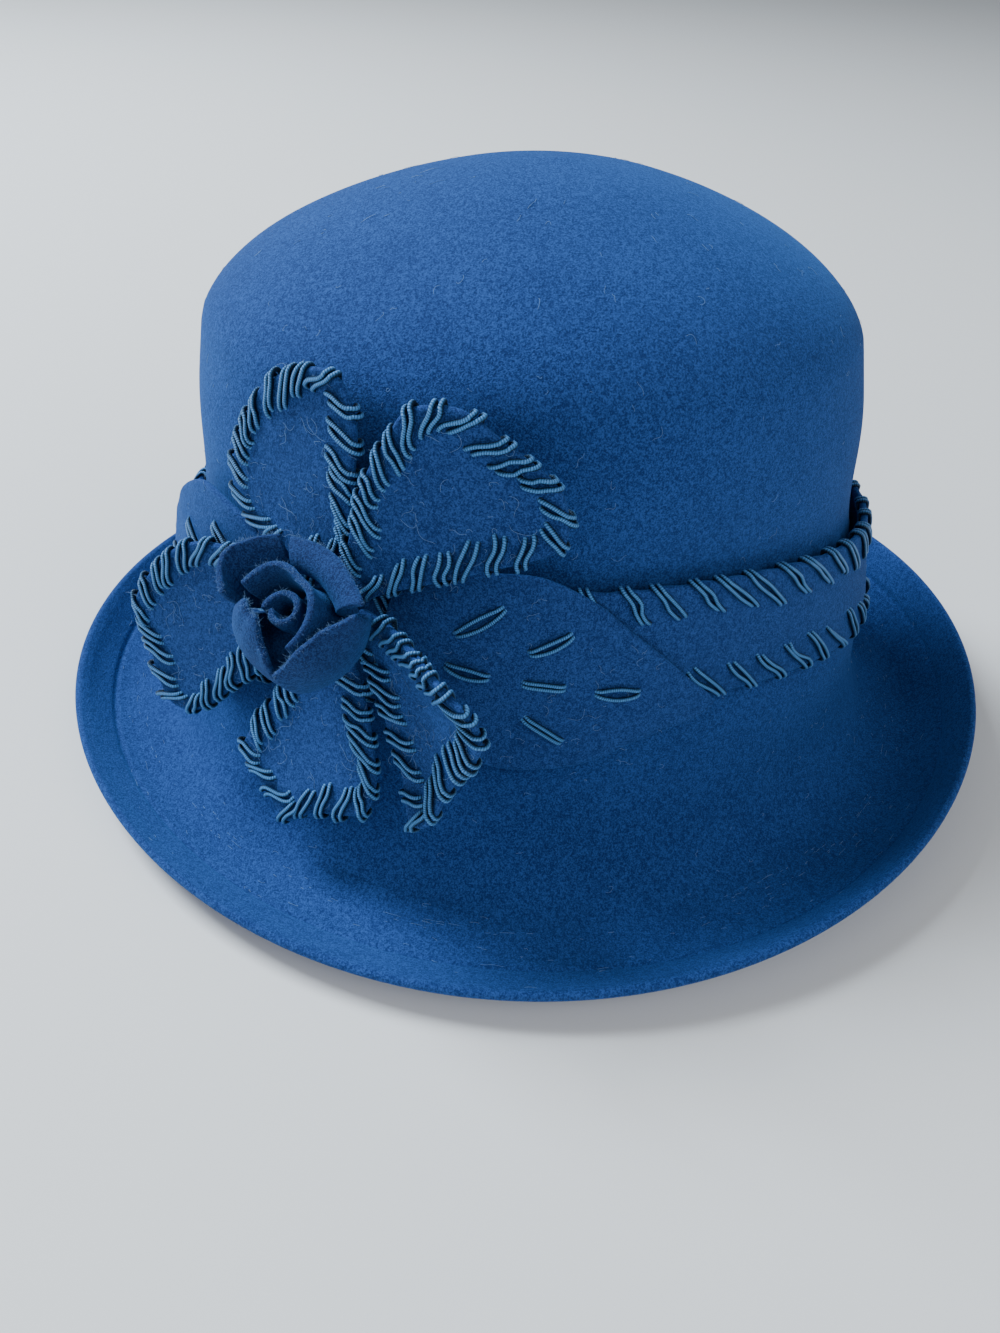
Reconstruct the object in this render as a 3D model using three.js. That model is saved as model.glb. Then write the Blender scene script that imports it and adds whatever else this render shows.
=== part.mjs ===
import * as THREE from 'three';

// Millimetres, Z up, table at Z 0. The front of the hat looks along -Y and the flower sits on its +X side.

// Felt thicknesses and the gap left between pieces that lie on each other
const hatFelt = 2.4;
const bandFelt = 2.0;
const leafFelt = 1.8;
const petalFelt = 1.8;
const roseFelt = 1.7;
const layGap = 0.3;

// Crown: half length runs along Y, half width along X
const crownBaseHalfLength = 105;
const crownBaseHalfWidth = 84;
const crownShoulderHalfLength = 87.6;
const crownShoulderHalfWidth = 71.2;
const crownBaseHeight = 35;
const crownShoulderHeight = 116.3;
const crownTopHeight = 155.4;
const crownLeanForward = 3.4;
const crownLeanAway = 1.3;
const crownTopBack = 2.6;
const waistDepth = 3.2;
const waistHeight = 68;
const waistReach = 37;

// Dome: height share between shoulder and top, radius share of the shoulder
const domeSections = [
  { height: 0, radius: 1 },
  { height: 0.10, radius: 0.985 },
  { height: 0.25, radius: 0.935 },
  { height: 0.42, radius: 0.845 },
  { height: 0.58, radius: 0.725 },
  { height: 0.73, radius: 0.575 },
  { height: 0.86, radius: 0.40 },
  { height: 0.95, radius: 0.22 },
  { height: 1, radius: 0 },
];

// Brim: edge oval, how far it curls up from the table all round and where it touches the table
const brimHalfLength = 139.2;
const brimHalfWidth = 135.8;
const brimCurl = 12.7;
const brimCurlEnds = 4.4;
const brimCurlBackOverFront = 5.7;
const brimCurlLeftOverRight = 2.0;
const valleyShareEnds = 0.50;
const valleyShareSides = 0.60;
const contactWidth = 5;
const flareDropShare = 0.55;
const flareRunShare = 0.05;
const flareEaseShare = 0.30;
const curlEaseShare = 0.45;
const curlLiftShare = 0.40;

// Band: top edge beside the flower, its width and how far it dips toward the front and the back
const bandTopHeight = 80.6;
const bandWidth = 31.4;
const bandDipBack = 13.6;
const bandDipFront = 21;

// Leaves: two of one shape, a long one toward the back and a shorter one toward the front, over the band
const leafWidth = 52;
const leafRootHeight = 72;
const leafTipHeight = 48.6;
const leafTurnBack = 54.5;
const leafTurnFront = 50;
const leafRootTurn = 2.5;
// Leaf outline: share of the way from root to tip, width share
const leafOutline = [
  { along: 0, width: 0.42 },
  { along: 0.25, width: 0.80 },
  { along: 0.47, width: 1 },
  { along: 0.6, width: 0.92 },
  { along: 0.75, width: 0.61 },
  { along: 0.88, width: 0.30 },
  { along: 1, width: 0.03 },
];

// Flower: its middle on the crown, which way it faces, and its petals
const flowerTurn = -36;
const flowerHeight = 72;
const flowerFacingTurn = -38.8;
const flowerFacingTilt = 10.8;
const flowerLift = 1.6;
const petalLength = 58;
const petalWidth = 42;
const petalRootShare = 0.12;
const petalEndRound = 0.08;
const curlLate = 1.5;
// Petal outline: share of the length, width share
const petalOutline = [
  { along: 0, width: 0.23 },
  { along: 0.2, width: 0.50 },
  { along: 0.4, width: 0.76 },
  { along: 0.6, width: 0.96 },
  { along: 0.74, width: 1 },
  { along: 0.87, width: 0.90 },
  { along: 1, width: 0.62 },
];
// Petals: direction round the flower in degrees, then shares of the petal length: long for its length,
// rise for how far its end stands off, cup for its sides and curl for how high one side is turned up past its
// middle; wide is its share of the petal width and wrap is how much it follows the crown's roundness
const petals = [
  { name: 'petal_1', turn: 104, long: 0.93, wide: 0.90, rise: 0.02, cup: 0.02, curl: 0, wrap: 0.7, layer: 0 },
  { name: 'petal_2', turn: 47, long: 1.16, wide: 0.98, rise: 0.07, cup: 0.01, curl: 0, wrap: 1, layer: 1 },
  { name: 'petal_3', turn: -23, long: 1.03, wide: 0.94, rise: 0.20, cup: 0.03, curl: 0.13, wrap: 0, layer: 1 },
  { name: 'petal_4', turn: -84, long: 1, wide: 1.05, rise: 0.16, cup: 0.02, curl: 0, wrap: 0, layer: 0 },
  { name: 'petal_5', turn: 209, long: 1.06, wide: 1.04, rise: 0.07, cup: 0.02, curl: 0, wrap: 0, layer: 1 },
];

// Rose: rim radius, height along its stalk and how far it bends up toward the crown's top
const roseRadius = 18.5;
const roseHeight = 21;
const roseBend = 62;
const roseShiftUp = 1;
const roseShiftRight = 5;
const rosePlay = 1.75;
// Rose petals: share of the way along, turn in degrees, then foot and lip as shares of the rose radius and the
// height there as a share of the rose height
const backPetal = [
  { along: 0, turn: 126, foot: 0.58, lip: 1.02, tall: 0.93 },
  { along: 0.35, turn: 148, foot: 0.58, lip: 1.10, tall: 0.97 },
  { along: 0.7, turn: 168, foot: 0.58, lip: 1.02, tall: 0.95 },
  { along: 1, turn: 188, foot: 0.57, lip: 0.76, tall: 0.85 },
];
const rolledPetal = [
  { along: 0, turn: 24, foot: 0.52, lip: 1.00, tall: 1.00 },
  { along: 0.35, turn: 52, foot: 0.48, lip: 0.92, tall: 1.08 },
  { along: 0.7, turn: 88, foot: 0.48, lip: 0.90, tall: 1.10 },
  { along: 1, turn: 119, foot: 0.55, lip: 1.02, tall: 1.05 },
];
const rightPetal = [
  { along: 0, turn: -68, foot: 0.62, lip: 0.74, tall: 0.70 },
  { along: 0.35, turn: -40, foot: 0.60, lip: 0.66, tall: 0.84 },
  { along: 0.7, turn: -8, foot: 0.60, lip: 0.62, tall: 0.86 },
  { along: 1, turn: 22, foot: 0.64, lip: 0.88, tall: 0.74 },
];
const frontPetal = [
  { along: 0, turn: 193, foot: 0.64, lip: 0.46, tall: 0.88 },
  { along: 0.35, turn: 220, foot: 0.62, lip: 0.36, tall: 0.92 },
  { along: 0.7, turn: 255, foot: 0.60, lip: 0.36, tall: 0.88 },
  { along: 1, turn: 287, foot: 0.60, lip: 0.56, tall: 0.76 },
];
const innerPetal = [
  { along: 0, turn: -48, foot: 0.34, lip: 0.50, tall: 0.86 },
  { along: 0.25, turn: 38, foot: 0.37, lip: 0.38, tall: 1.00 },
  { along: 0.5, turn: 88, foot: 0.26, lip: 0.34, tall: 1.03 },
  { along: 0.75, turn: 135, foot: 0.30, lip: 0.50, tall: 1.02 },
  { along: 1, turn: 176, foot: 0.32, lip: 0.56, tall: 0.92 },
];
// How late each petal leaves its foot's radius for its lip's, its belly as a share of the rose radius, and how
// far its lip rolls over
const rosePetals = [
  { name: 'rose_petal_1', rows: backPetal, late: 1.2, belly: 0.05, roll: 0 },
  { name: 'rose_petal_2', rows: rolledPetal, late: 4, belly: 0.02, roll: 0.10 },
  { name: 'rose_petal_3', rows: rightPetal, late: 1.6, belly: 0.14, roll: 0 },
  { name: 'rose_petal_4', rows: frontPetal, late: 2.6, belly: 0.18, roll: 0 },
  { name: 'rose_petal_5', rows: innerPetal, late: 1, belly: 0.03, roll: 0 },
];
// Bud: radius shares of its inner end at foot and rim, its height share, where its roll starts and its turns
const budFootShare = 0.04;
const budRimShare = 0.08;
const budTall = 0.9;
const budStart = 200;
const budTurns = 1;

// Facets
const roundSteps = 56;
const outerDomeSteps = 8;
const outerWallSteps = 6;
const outerFlareSteps = 7;
const outerCurlSteps = 5;
const innerDomeSteps = 5;
const innerWallSteps = 5;
const innerFlareSteps = 5;
const innerCurlSteps = 4;
const edgeSteps = 4;
const leafSteps = 12;
const leafCrossSteps = 6;
const petalSteps = 10;
const petalCrossSteps = 8;
const roseSteps = 9;
const roseUpSteps = 6;
const budSteps = 14;
const budUpSteps = 3;

const degree = Math.PI / 180;
const vec = (x, y, z) => new THREE.Vector3(x, y, z);
const mix = (a, b, share) => a + (b - a) * share;

// Smooth curve through the rows of a table: the column's value at a share of the way along another column
function tableValue(table, along, column, at) {
  let row = 0;
  while (row < table.length - 2 && at > table[row + 1][along]) {
    row += 1;
  }
  const before = table[Math.max(row - 1, 0)];
  const start = table[row];
  const end = table[row + 1];
  const after = table[Math.min(row + 2, table.length - 1)];
  const span = end[along] - start[along];
  const t = (at - start[along]) / span;
  const slopeStart = (end[column] - before[column]) / Math.max(end[along] - before[along], 1e-9);
  const slopeEnd = (after[column] - start[column]) / Math.max(after[along] - start[along], 1e-9);
  const t2 = t * t;
  const t3 = t2 * t;
  return (2 * t3 - 3 * t2 + 1) * start[column] + (t3 - 2 * t2 + t) * span * slopeStart
    + (3 * t2 - 2 * t3) * end[column] + (t3 - t2) * span * slopeEnd;
}

function bezier(p0, p1, p2, p3, t) {
  const s = 1 - t;
  return s * s * s * p0 + 3 * s * s * t * p1 + 3 * s * t * t * p2 + t * t * t * p3;
}

// Oval of the crown at a height, drawn in by a depth
function crownOval(angle, height, depth) {
  const rise = (height - crownBaseHeight) / (crownShoulderHeight - crownBaseHeight);
  const halfLength = mix(crownBaseHalfLength, crownShoulderHalfLength, rise) - depth;
  const halfWidth = mix(crownBaseHalfWidth, crownShoulderHalfWidth, rise) - depth;
  const x = halfWidth * Math.cos(angle) - crownLeanAway * rise;
  const y = halfLength * Math.sin(angle) - crownLeanForward * rise;
  return vec(x, y, height);
}

// Crown wall, with a soft waist above the band
function crownWall(angle, height) {
  const away = Math.min(Math.abs(height - waistHeight) / waistReach, 1);
  return crownOval(angle, height, waistDepth * Math.cos(away * Math.PI / 2) ** 2);
}

// Straight sides round the waist, which the trimming lies on
function trimWall(angle, height) {
  return crownOval(angle, height, 0);
}

// Dome above the shoulder, share 0 at the shoulder and 1 at the top
function crownDome(angle, share) {
  const radius = tableValue(domeSections, 'height', 'radius', share);
  const x = crownShoulderHalfWidth * radius * Math.cos(angle) - crownLeanAway;
  const back = crownTopBack * share * share - crownLeanForward;
  const y = crownShoulderHalfLength * radius * Math.sin(angle) + back;
  return vec(x, y, mix(crownShoulderHeight, crownTopHeight, share));
}

function rimHeight(angle) {
  return brimCurl - brimCurlEnds * Math.cos(2 * angle) + brimCurlBackOverFront * Math.sin(angle)
    + brimCurlLeftOverRight * Math.cos(angle);
}

// Point of the brim at a share of the way from the crown's base out to the rim
function brimPoint(angle, share, height) {
  const inner = trimWall(angle, crownBaseHeight);
  const x = mix(inner.x, brimHalfWidth * Math.cos(angle), share);
  const y = mix(inner.y, brimHalfLength * Math.sin(angle), share);
  return vec(x, y, height);
}

// Brim from crown base (0) down the flare to the contact ring (1), across it (2) and up the curl to the rim (3)
function brimSection(angle, station) {
  const ends = Math.sin(angle) ** 2;
  const valley = mix(valleyShareSides, valleyShareEnds, ends);
  const base = trimWall(angle, crownBaseHeight);
  const rim = brimPoint(angle, 1, 0);
  const run = Math.hypot(rim.x - base.x, rim.y - base.y);
  const halfContact = contactWidth / 2 / run;
  const floorHeight = hatFelt;
  if (station <= 1) {
    const share = bezier(0, flareRunShare, valley - halfContact - flareEaseShare, valley - halfContact, station);
    const drop = mix(crownBaseHeight, floorHeight, flareDropShare);
    return brimPoint(angle, share, bezier(crownBaseHeight, drop, floorHeight, floorHeight, station));
  }
  if (station <= 2) {
    return brimPoint(angle, valley + halfContact * (2 * (station - 1) - 1), floorHeight);
  }
  const t = station - 2;
  const start = valley + halfContact;
  const top = Math.max(rimHeight(angle), floorHeight);
  const ease = mix(start, 1, curlEaseShare);
  const late = mix(start, 1, 1 - curlLiftShare / 2);
  const share = bezier(start, ease, late, 1, t);
  const lift = mix(floorHeight, top, 1 - curlLiftShare);
  return brimPoint(angle, share, bezier(floorHeight, floorHeight, lift, top, t));
}

// Whole outer side of the hat by one number: 0 top, 1 shoulder, 2 crown base, 3 and 4 contact ring, 5 rim
function hatPoint(angle, station) {
  if (station <= 1) {
    const share = Math.cos(Math.max(station, 0) * Math.PI / 2);
    return crownDome(angle, share);
  }
  if (station <= 2) {
    return crownWall(angle, mix(crownShoulderHeight, crownBaseHeight, station - 1));
  }
  return brimSection(angle, station - 2);
}

// Outward direction of a surface given by a function of two numbers
function surfaceNormal(surface, u, v) {
  const step = 1e-4;
  const alongU = surface(u + step, v).sub(surface(u - step, v));
  const alongV = surface(u, v + step).sub(surface(u, v - step));
  return alongU.cross(alongV).normalize();
}

function hatNormal(angle, station) {
  const low = Math.min(Math.max(station, 1e-3), 5 - 1e-3);
  return surfaceNormal(hatPoint, angle, low).negate();
}

function hatOffset(angle, station, distance) {
  return hatPoint(angle, station).addScaledVector(hatNormal(angle, station), distance);
}

// Closed mesh from stacked rings of equal length, with a pole at each end
function ringSolid(rings, firstPole, lastPole) {
  const count = rings[0].length;
  const points = [firstPole, ...rings.flat(), lastPole];
  const faces = [];
  const at = (ring, step) => 1 + ring * count + (step % count);
  for (let step = 0; step < count; step += 1) {
    faces.push(0, at(0, step), at(0, step + 1));
    for (let ring = 0; ring < rings.length - 1; ring += 1) {
      faces.push(at(ring, step), at(ring + 1, step), at(ring + 1, step + 1));
      faces.push(at(ring, step), at(ring + 1, step + 1), at(ring, step + 1));
    }
    faces.push(at(rings.length - 1, step + 1), at(rings.length - 1, step), points.length - 1);
  }
  return meshGeometry(points, faces);
}

// Closed ring mesh whose section is the list of rings, joined last to first
function loopSolid(rings) {
  const count = rings[0].length;
  const faces = [];
  for (let ring = 0; ring < rings.length; ring += 1) {
    const next = (ring + 1) % rings.length;
    for (let step = 0; step < count; step += 1) {
      const after = (step + 1) % count;
      faces.push(ring * count + step, next * count + step, next * count + after);
      faces.push(ring * count + step, next * count + after, ring * count + after);
    }
  }
  return meshGeometry(rings.flat(), faces);
}

function meshGeometry(points, faces) {
  const geometry = new THREE.BufferGeometry();
  geometry.setAttribute('position', new THREE.Float32BufferAttribute(points.flatMap((p) => [p.x, p.y, p.z]), 3));
  geometry.setIndex(faces);
  geometry.computeVertexNormals();
  return geometry;
}

function ringOf(pointAt) {
  const ring = [];
  for (let step = 0; step < roundSteps; step += 1) {
    ring.push(pointAt(2 * Math.PI * step / roundSteps));
  }
  return ring;
}

function stations(domeSteps, wallSteps, flareSteps, curlSteps) {
  const list = [];
  for (let i = 1; i <= domeSteps; i += 1) {
    list.push(i / domeSteps);
  }
  for (let i = 1; i <= wallSteps; i += 1) {
    list.push(1 + i / wallSteps);
  }
  for (let i = 1; i <= flareSteps; i += 1) {
    list.push(2 + i / flareSteps);
  }
  list.push(4);
  for (let i = 1; i <= curlSteps; i += 1) {
    list.push(4 + i / curlSteps);
  }
  return list;
}

// Crown and brim in one piece of felt with a round brim edge
function hatBody() {
  const rings = [];
  for (const station of stations(outerDomeSteps, outerWallSteps, outerFlareSteps, outerCurlSteps)) {
    rings.push(ringOf((angle) => hatPoint(angle, station)));
  }
  for (let i = 1; i < edgeSteps; i += 1) {
    const turn = Math.PI * i / edgeSteps;
    rings.push(ringOf((angle) => {
      const up = hatNormal(angle, 5);
      const side = hatPoint(angle + 1e-3, 5).sub(hatPoint(angle - 1e-3, 5)).normalize();
      const out = side.cross(up).normalize();
      return hatPoint(angle, 5).addScaledVector(up, hatFelt / 2 * (Math.cos(turn) - 1))
        .addScaledVector(out, hatFelt / 2 * Math.sin(turn));
    }));
  }
  const inner = stations(innerDomeSteps, innerWallSteps, innerFlareSteps, innerCurlSteps).reverse();
  for (const station of inner) {
    rings.push(ringOf((angle) => {
      const point = hatOffset(angle, station, -hatFelt);
      const touches = station === 3 || station === 4;
      return vec(point.x, point.y, touches ? 0 : Math.max(point.z, 0));
    }));
  }
  const top = crownDome(0, 1);
  const under = vec(top.x, top.y, top.z - hatFelt);
  return ringSolid(rings, top, under);
}

// Point at a distance off the straight sides that the trimming lies on
function trimOffset(angle, height, distance) {
  return trimWall(angle, height).addScaledVector(surfaceNormal(trimWall, angle, height), distance);
}

// Felt strip round the crown
function hatBand() {
  const edge = (angle, height, distance) => {
    const back = Math.sin(angle);
    const level = height - (back > 0 ? bandDipBack : bandDipFront) * Math.abs(back) ** 3;
    return trimOffset(angle, level, distance);
  };
  const low = bandTopHeight - bandWidth;
  return loopSolid([
    ringOf((angle) => edge(angle, bandTopHeight, layGap)),
    ringOf((angle) => edge(angle, bandTopHeight, layGap + bandFelt)),
    ringOf((angle) => edge(angle, low, layGap + bandFelt)),
    ringOf((angle) => edge(angle, low, layGap)),
  ]);
}

function signedVolume(points, faces) {
  let volume = 0;
  for (let i = 0; i < faces.length; i += 3) {
    const [a, b, c] = [points[faces[i]], points[faces[i + 1]], points[faces[i + 2]]];
    volume += a.dot(vec(0, 0, 0).crossVectors(b, c)) / 6;
  }
  return volume;
}

// Piece of felt of even thickness on the outer side of a surface of two shares from 0 to 1
function feltSheet(surface, thickness, stepsU, stepsV) {
  const points = [];
  const columns = stepsV + 1;
  const layer = (stepsU + 1) * columns;
  for (const side of [0, 1]) {
    for (let i = 0; i <= stepsU; i += 1) {
      for (let j = 0; j <= stepsV; j += 1) {
        const u = i / stepsU;
        const v = j / stepsV;
        const normal = surfaceNormal(surface, u, v);
        points.push(surface(u, v).addScaledVector(normal, side * thickness));
      }
    }
  }
  const at = (side, i, j) => side * layer + i * columns + j;
  const faces = [];
  const quad = (a, b, c, d) => faces.push(a, b, c, a, c, d);
  for (let i = 0; i < stepsU; i += 1) {
    for (let j = 0; j < stepsV; j += 1) {
      quad(at(1, i, j), at(1, i + 1, j), at(1, i + 1, j + 1), at(1, i, j + 1));
      quad(at(0, i, j), at(0, i, j + 1), at(0, i + 1, j + 1), at(0, i + 1, j));
    }
    quad(at(0, i, 0), at(0, i + 1, 0), at(1, i + 1, 0), at(1, i, 0));
    quad(at(0, i, stepsV), at(1, i, stepsV), at(1, i + 1, stepsV), at(0, i + 1, stepsV));
  }
  for (let j = 0; j < stepsV; j += 1) {
    quad(at(0, 0, j), at(1, 0, j), at(1, 0, j + 1), at(0, 0, j + 1));
    quad(at(0, stepsU, j), at(0, stepsU, j + 1), at(1, stepsU, j + 1), at(1, stepsU, j));
  }
  if (signedVolume(points, faces) < 0) {
    faces.reverse();
  }
  return meshGeometry(points, faces);
}

// Leaf lying over the band; way is 1 toward the back and -1 toward the front
function leaf(way, tipTurn) {
  const under = layGap + bandFelt + layGap;
  return feltSheet((along, across) => {
    const width = leafWidth * tableValue(leafOutline, 'along', 'width', along);
    const turn = flowerTurn + way * mix(leafRootTurn, tipTurn, along);
    const height = mix(leafRootHeight, leafTipHeight, along) + way * width * (across - 0.5);
    return trimOffset(turn * degree, height, under);
  }, leafFelt, leafSteps, leafCrossSteps);
}

// Flower frame: out from the crown, up along it and level to the right, with its origin under the petals
const facing = flowerFacingTurn * degree;
const tilt = flowerFacingTilt * degree;
const flowerOut = vec(Math.cos(facing) * Math.cos(tilt), Math.sin(facing) * Math.cos(tilt), Math.sin(tilt));
const flowerRight = vec(-Math.sin(facing), Math.cos(facing), 0);
const flowerUp = flowerOut.clone().cross(flowerRight);
const flowerSeat = layGap + bandFelt + layGap + leafFelt + layGap;
const flowerMiddle = trimOffset(flowerTurn * degree, flowerHeight, flowerSeat + flowerLift);

function flowerPoint(right, up, out) {
  return flowerMiddle.clone().addScaledVector(flowerRight, right).addScaledVector(flowerUp, up)
    .addScaledVector(flowerOut, out);
}

// Radius of the crown's roundness where the flower sits
function crownRoundness() {
  const rise = (flowerHeight - crownBaseHeight) / (crownShoulderHeight - crownBaseHeight);
  const halfLength = mix(crownBaseHalfLength, crownShoulderHalfLength, rise);
  const halfWidth = mix(crownBaseHalfWidth, crownShoulderHalfWidth, rise);
  const sine = halfLength * Math.sin(flowerTurn * degree);
  const cosine = halfWidth * Math.cos(flowerTurn * degree);
  return (sine * sine + cosine * cosine) ** 1.5 / (halfLength * halfWidth);
}

function petal(row) {
  const lift = row.layer * (petalFelt + layGap);
  const turn = row.turn * degree;
  const start = petalRootShare * petalLength;
  return feltSheet((along, across) => {
    const side = 2 * across - 1;
    const aside = petalWidth * row.wide / 2 * tableValue(petalOutline, 'along', 'width', along) * side;
    const reach = (petalLength * row.long - start) * (along - petalEndRound * side * side * along ** 3);
    const out = start + reach;
    const right = Math.cos(turn) * out - Math.sin(turn) * aside;
    const up = Math.sin(turn) * out + Math.cos(turn) * aside;
    const fall = row.wrap * right * right / (2 * crownRoundness());
    const crest = Math.sin(Math.PI * Math.max(along, 0) ** curlLate);
    const curl = row.curl * Math.max(side, 0) ** 2 * crest ** 2;
    const rise = petalLength * (row.rise * along * along + row.cup * side * side * along + curl);
    return flowerPoint(right, up, lift + rise - fall);
  }, petalFelt, petalSteps, petalCrossSteps);
}

// Point of the rose: turn round its stalk, radius, and share of the way up the bent stalk
function rosePoint(turn, radius, up) {
  const bend = roseBend * degree * up;
  const stalk = roseHeight / (roseBend * degree);
  const seat = 2 * (petalFelt + layGap) + rosePlay;
  const stalkUp = roseShiftUp + stalk * (1 - Math.cos(bend));
  const stalkOut = seat + stalk * Math.sin(bend);
  const back = radius * Math.sin(turn);
  const right = roseShiftRight + radius * Math.cos(turn);
  return flowerPoint(right, stalkUp + back * Math.cos(bend), stalkOut - back * Math.sin(bend));
}

function rosePetal(petalRow) {
  const value = (column, along) => tableValue(petalRow.rows, 'along', column, along);
  return feltSheet((around, up) => {
    const share = Math.max(up, 0) ** petalRow.late;
    const belly = petalRow.belly * 4 * up * (1 - up);
    const radius = roseRadius * (mix(value('foot', around), value('lip', around), share) + belly);
    const height = value('tall', around) * up * (1 - petalRow.roll * up ** 4);
    return rosePoint(value('turn', around) * degree, radius, height);
  }, roseFelt, roseSteps, roseUpSteps);
}

function roseBud() {
  return feltSheet((around, up) => {
    const turns = budTurns * around;
    const growth = (roseFelt + 2 * layGap) * turns;
    const turn = budStart * degree + 2 * Math.PI * turns;
    return rosePoint(turn, roseRadius * mix(budFootShare, budRimShare, up) + growth, budTall * up);
  }, roseFelt, budSteps, budUpSteps);
}

const feltBlue = new THREE.MeshStandardMaterial({ color: 0x16263f, roughness: 0.95, metalness: 0 });
feltBlue.name = 'felt_navy';

const hat = new THREE.Group();
hat.name = 'cloche_hat';

function addPiece(name, geometry, material) {
  const piece = new THREE.Mesh(geometry, material);
  piece.name = name;
  hat.add(piece);
}

addPiece('hat_body', hatBody(), feltBlue);
addPiece('hat_band', hatBand(), feltBlue);
addPiece('leaf_back', leaf(1, leafTurnBack), feltBlue);
addPiece('leaf_front', leaf(-1, leafTurnFront), feltBlue);
for (const row of petals) {
  addPiece(row.name, petal(row), feltBlue);
}
for (const row of rosePetals) {
  addPiece(row.name, rosePetal(row), feltBlue);
}
addPiece('rose_bud', roseBud(), feltBlue);

export default hat;
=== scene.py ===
import bpy
import numpy as np
from mathutils import Matrix


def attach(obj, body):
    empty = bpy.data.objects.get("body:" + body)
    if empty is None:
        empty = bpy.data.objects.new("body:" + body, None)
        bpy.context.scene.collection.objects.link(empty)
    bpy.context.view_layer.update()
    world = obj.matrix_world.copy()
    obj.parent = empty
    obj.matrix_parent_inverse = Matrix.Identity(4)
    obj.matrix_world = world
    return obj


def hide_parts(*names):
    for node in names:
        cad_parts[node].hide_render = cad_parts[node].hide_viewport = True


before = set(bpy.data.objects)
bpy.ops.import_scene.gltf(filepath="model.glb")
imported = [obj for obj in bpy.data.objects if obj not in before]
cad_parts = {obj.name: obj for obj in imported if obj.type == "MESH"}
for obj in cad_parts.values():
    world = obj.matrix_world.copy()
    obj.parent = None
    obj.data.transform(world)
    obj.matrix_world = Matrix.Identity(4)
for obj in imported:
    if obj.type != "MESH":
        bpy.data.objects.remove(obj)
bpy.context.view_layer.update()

# Seeded scatter of stitches and fibres
hand = np.random.default_rng(11)

# Lengths are millimetres until a mesh is made. The hat's front looks along -Y and the flower sits on +X.
HAT_FELT = 2.4
BAND_FELT = 2.0
LEAF_FELT = 1.8
PETAL_FELT = 1.8
ROSE_FELT = 1.7
LAY_GAP = 0.3
CORD_RADIUS = 0.62

# Crown and brim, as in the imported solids
BASE_HALF = np.array([84.0, 105.0])
SHOULDER_HALF = np.array([71.2, 87.6])
BASE_HEIGHT = 35.0
SHOULDER_HEIGHT = 116.3
TOP_HEIGHT = 155.4
LEAN = np.array([-1.3, -3.4])
TOP_BACK = 2.6
WAIST_DEPTH, WAIST_HEIGHT, WAIST_REACH = 3.2, 68.0, 37.0
DOME = [(0, 1), (0.10, 0.985), (0.25, 0.935), (0.42, 0.845), (0.58, 0.725), (0.73, 0.575), (0.86, 0.40),
        (0.95, 0.22), (1, 0)]
BRIM_HALF = np.array([135.8, 139.2])
CONTACT_WIDTH = 5.0
# Pressed line inside the rim: its distance from the rim, depth and reach, and the rise of the felt outside it
HEM_WIDTH, HEM_DEPTH, HEM_REACH, HEM_RISE = 11.0, 0.55, 0.8, 0.3

# Band and leaves
BAND_TOP, BAND_WIDTH = 80.6, 31.4
BAND_DIP_BACK, BAND_DIP_FRONT = 13.6, 21.0

# Flower
FLOWER_TURN, FLOWER_HEIGHT = np.radians(-36.0), 72.0
FACING_TURN, FACING_TILT = np.radians(-38.8), np.radians(10.8)
FLOWER_LIFT = 1.6
PETAL_LENGTH, PETAL_WIDTH = 58.0, 42.0
PETAL_START = 0.12 * PETAL_LENGTH


def mix(a, b, share):
    """a at share 0, b at share 1, evenly between."""
    return a + (b - a) * share


def unit(vectors):
    """Vectors brought to length one."""
    return vectors / np.maximum(np.linalg.norm(vectors, axis=-1, keepdims=True), 1e-12)


def through(rows, at):
    """Smooth curve through rows of (place, value): cubic between neighbours, sloped by the rows beside."""
    place, value = np.array(rows, float).T
    k = np.arange(len(place))
    before, after = np.maximum(k - 1, 0), np.minimum(k + 1, len(place) - 1)
    slope = (value[after] - value[before]) / (place[after] - place[before])
    i = np.searchsorted(place[1:-1], at)
    span = place[i + 1] - place[i]
    t = (at - place[i]) / span
    return ((2 * t**3 - 3 * t**2 + 1) * value[i] + (t**3 - 2 * t**2 + t) * span * slope[i]
            + (3 * t**2 - 2 * t**3) * value[i + 1] + (t**3 - t**2) * span * slope[i + 1])


def bezier(p0, p1, p2, p3, t):
    """Cubic curve pulled by four values."""
    s = 1 - t
    return s**3 * p0 + 3 * s**2 * t * p1 + 3 * s * t**2 * p2 + t**3 * p3


def crown_oval(angle, height, drawn_in=0.0):
    """Oval whose half sizes and middle run evenly from foot to shoulder, less a depth drawn in."""
    rise = (height - BASE_HEIGHT) / (SHOULDER_HEIGHT - BASE_HEIGHT)
    x = (mix(BASE_HALF[0], SHOULDER_HALF[0], rise) - drawn_in) * np.cos(angle) + LEAN[0] * rise
    y = (mix(BASE_HALF[1], SHOULDER_HALF[1], rise) - drawn_in) * np.sin(angle) + LEAN[1] * rise
    return np.stack([x, y, height + 0 * x], -1)


def crown_wall(angle, height):
    """Crown oval with a waist: the depth drawn in is a squared cosine about the waist's height."""
    away = np.minimum(np.abs(height - WAIST_HEIGHT) / WAIST_REACH, 1)
    return crown_oval(angle, height, WAIST_DEPTH * np.cos(away * np.pi / 2) ** 2)


def crown_dome(angle, share):
    """Dome: the shoulder's oval times a radius read from the dome's rows, moved back with share squared."""
    radius = through(DOME, np.clip(share, 0, 1))
    x = SHOULDER_HALF[0] * radius * np.cos(angle) + LEAN[0]
    y = SHOULDER_HALF[1] * radius * np.sin(angle) + LEAN[1] + TOP_BACK * share**2
    return np.stack([x, y, mix(SHOULDER_HEIGHT, TOP_HEIGHT, share) + 0 * x], -1)


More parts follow.
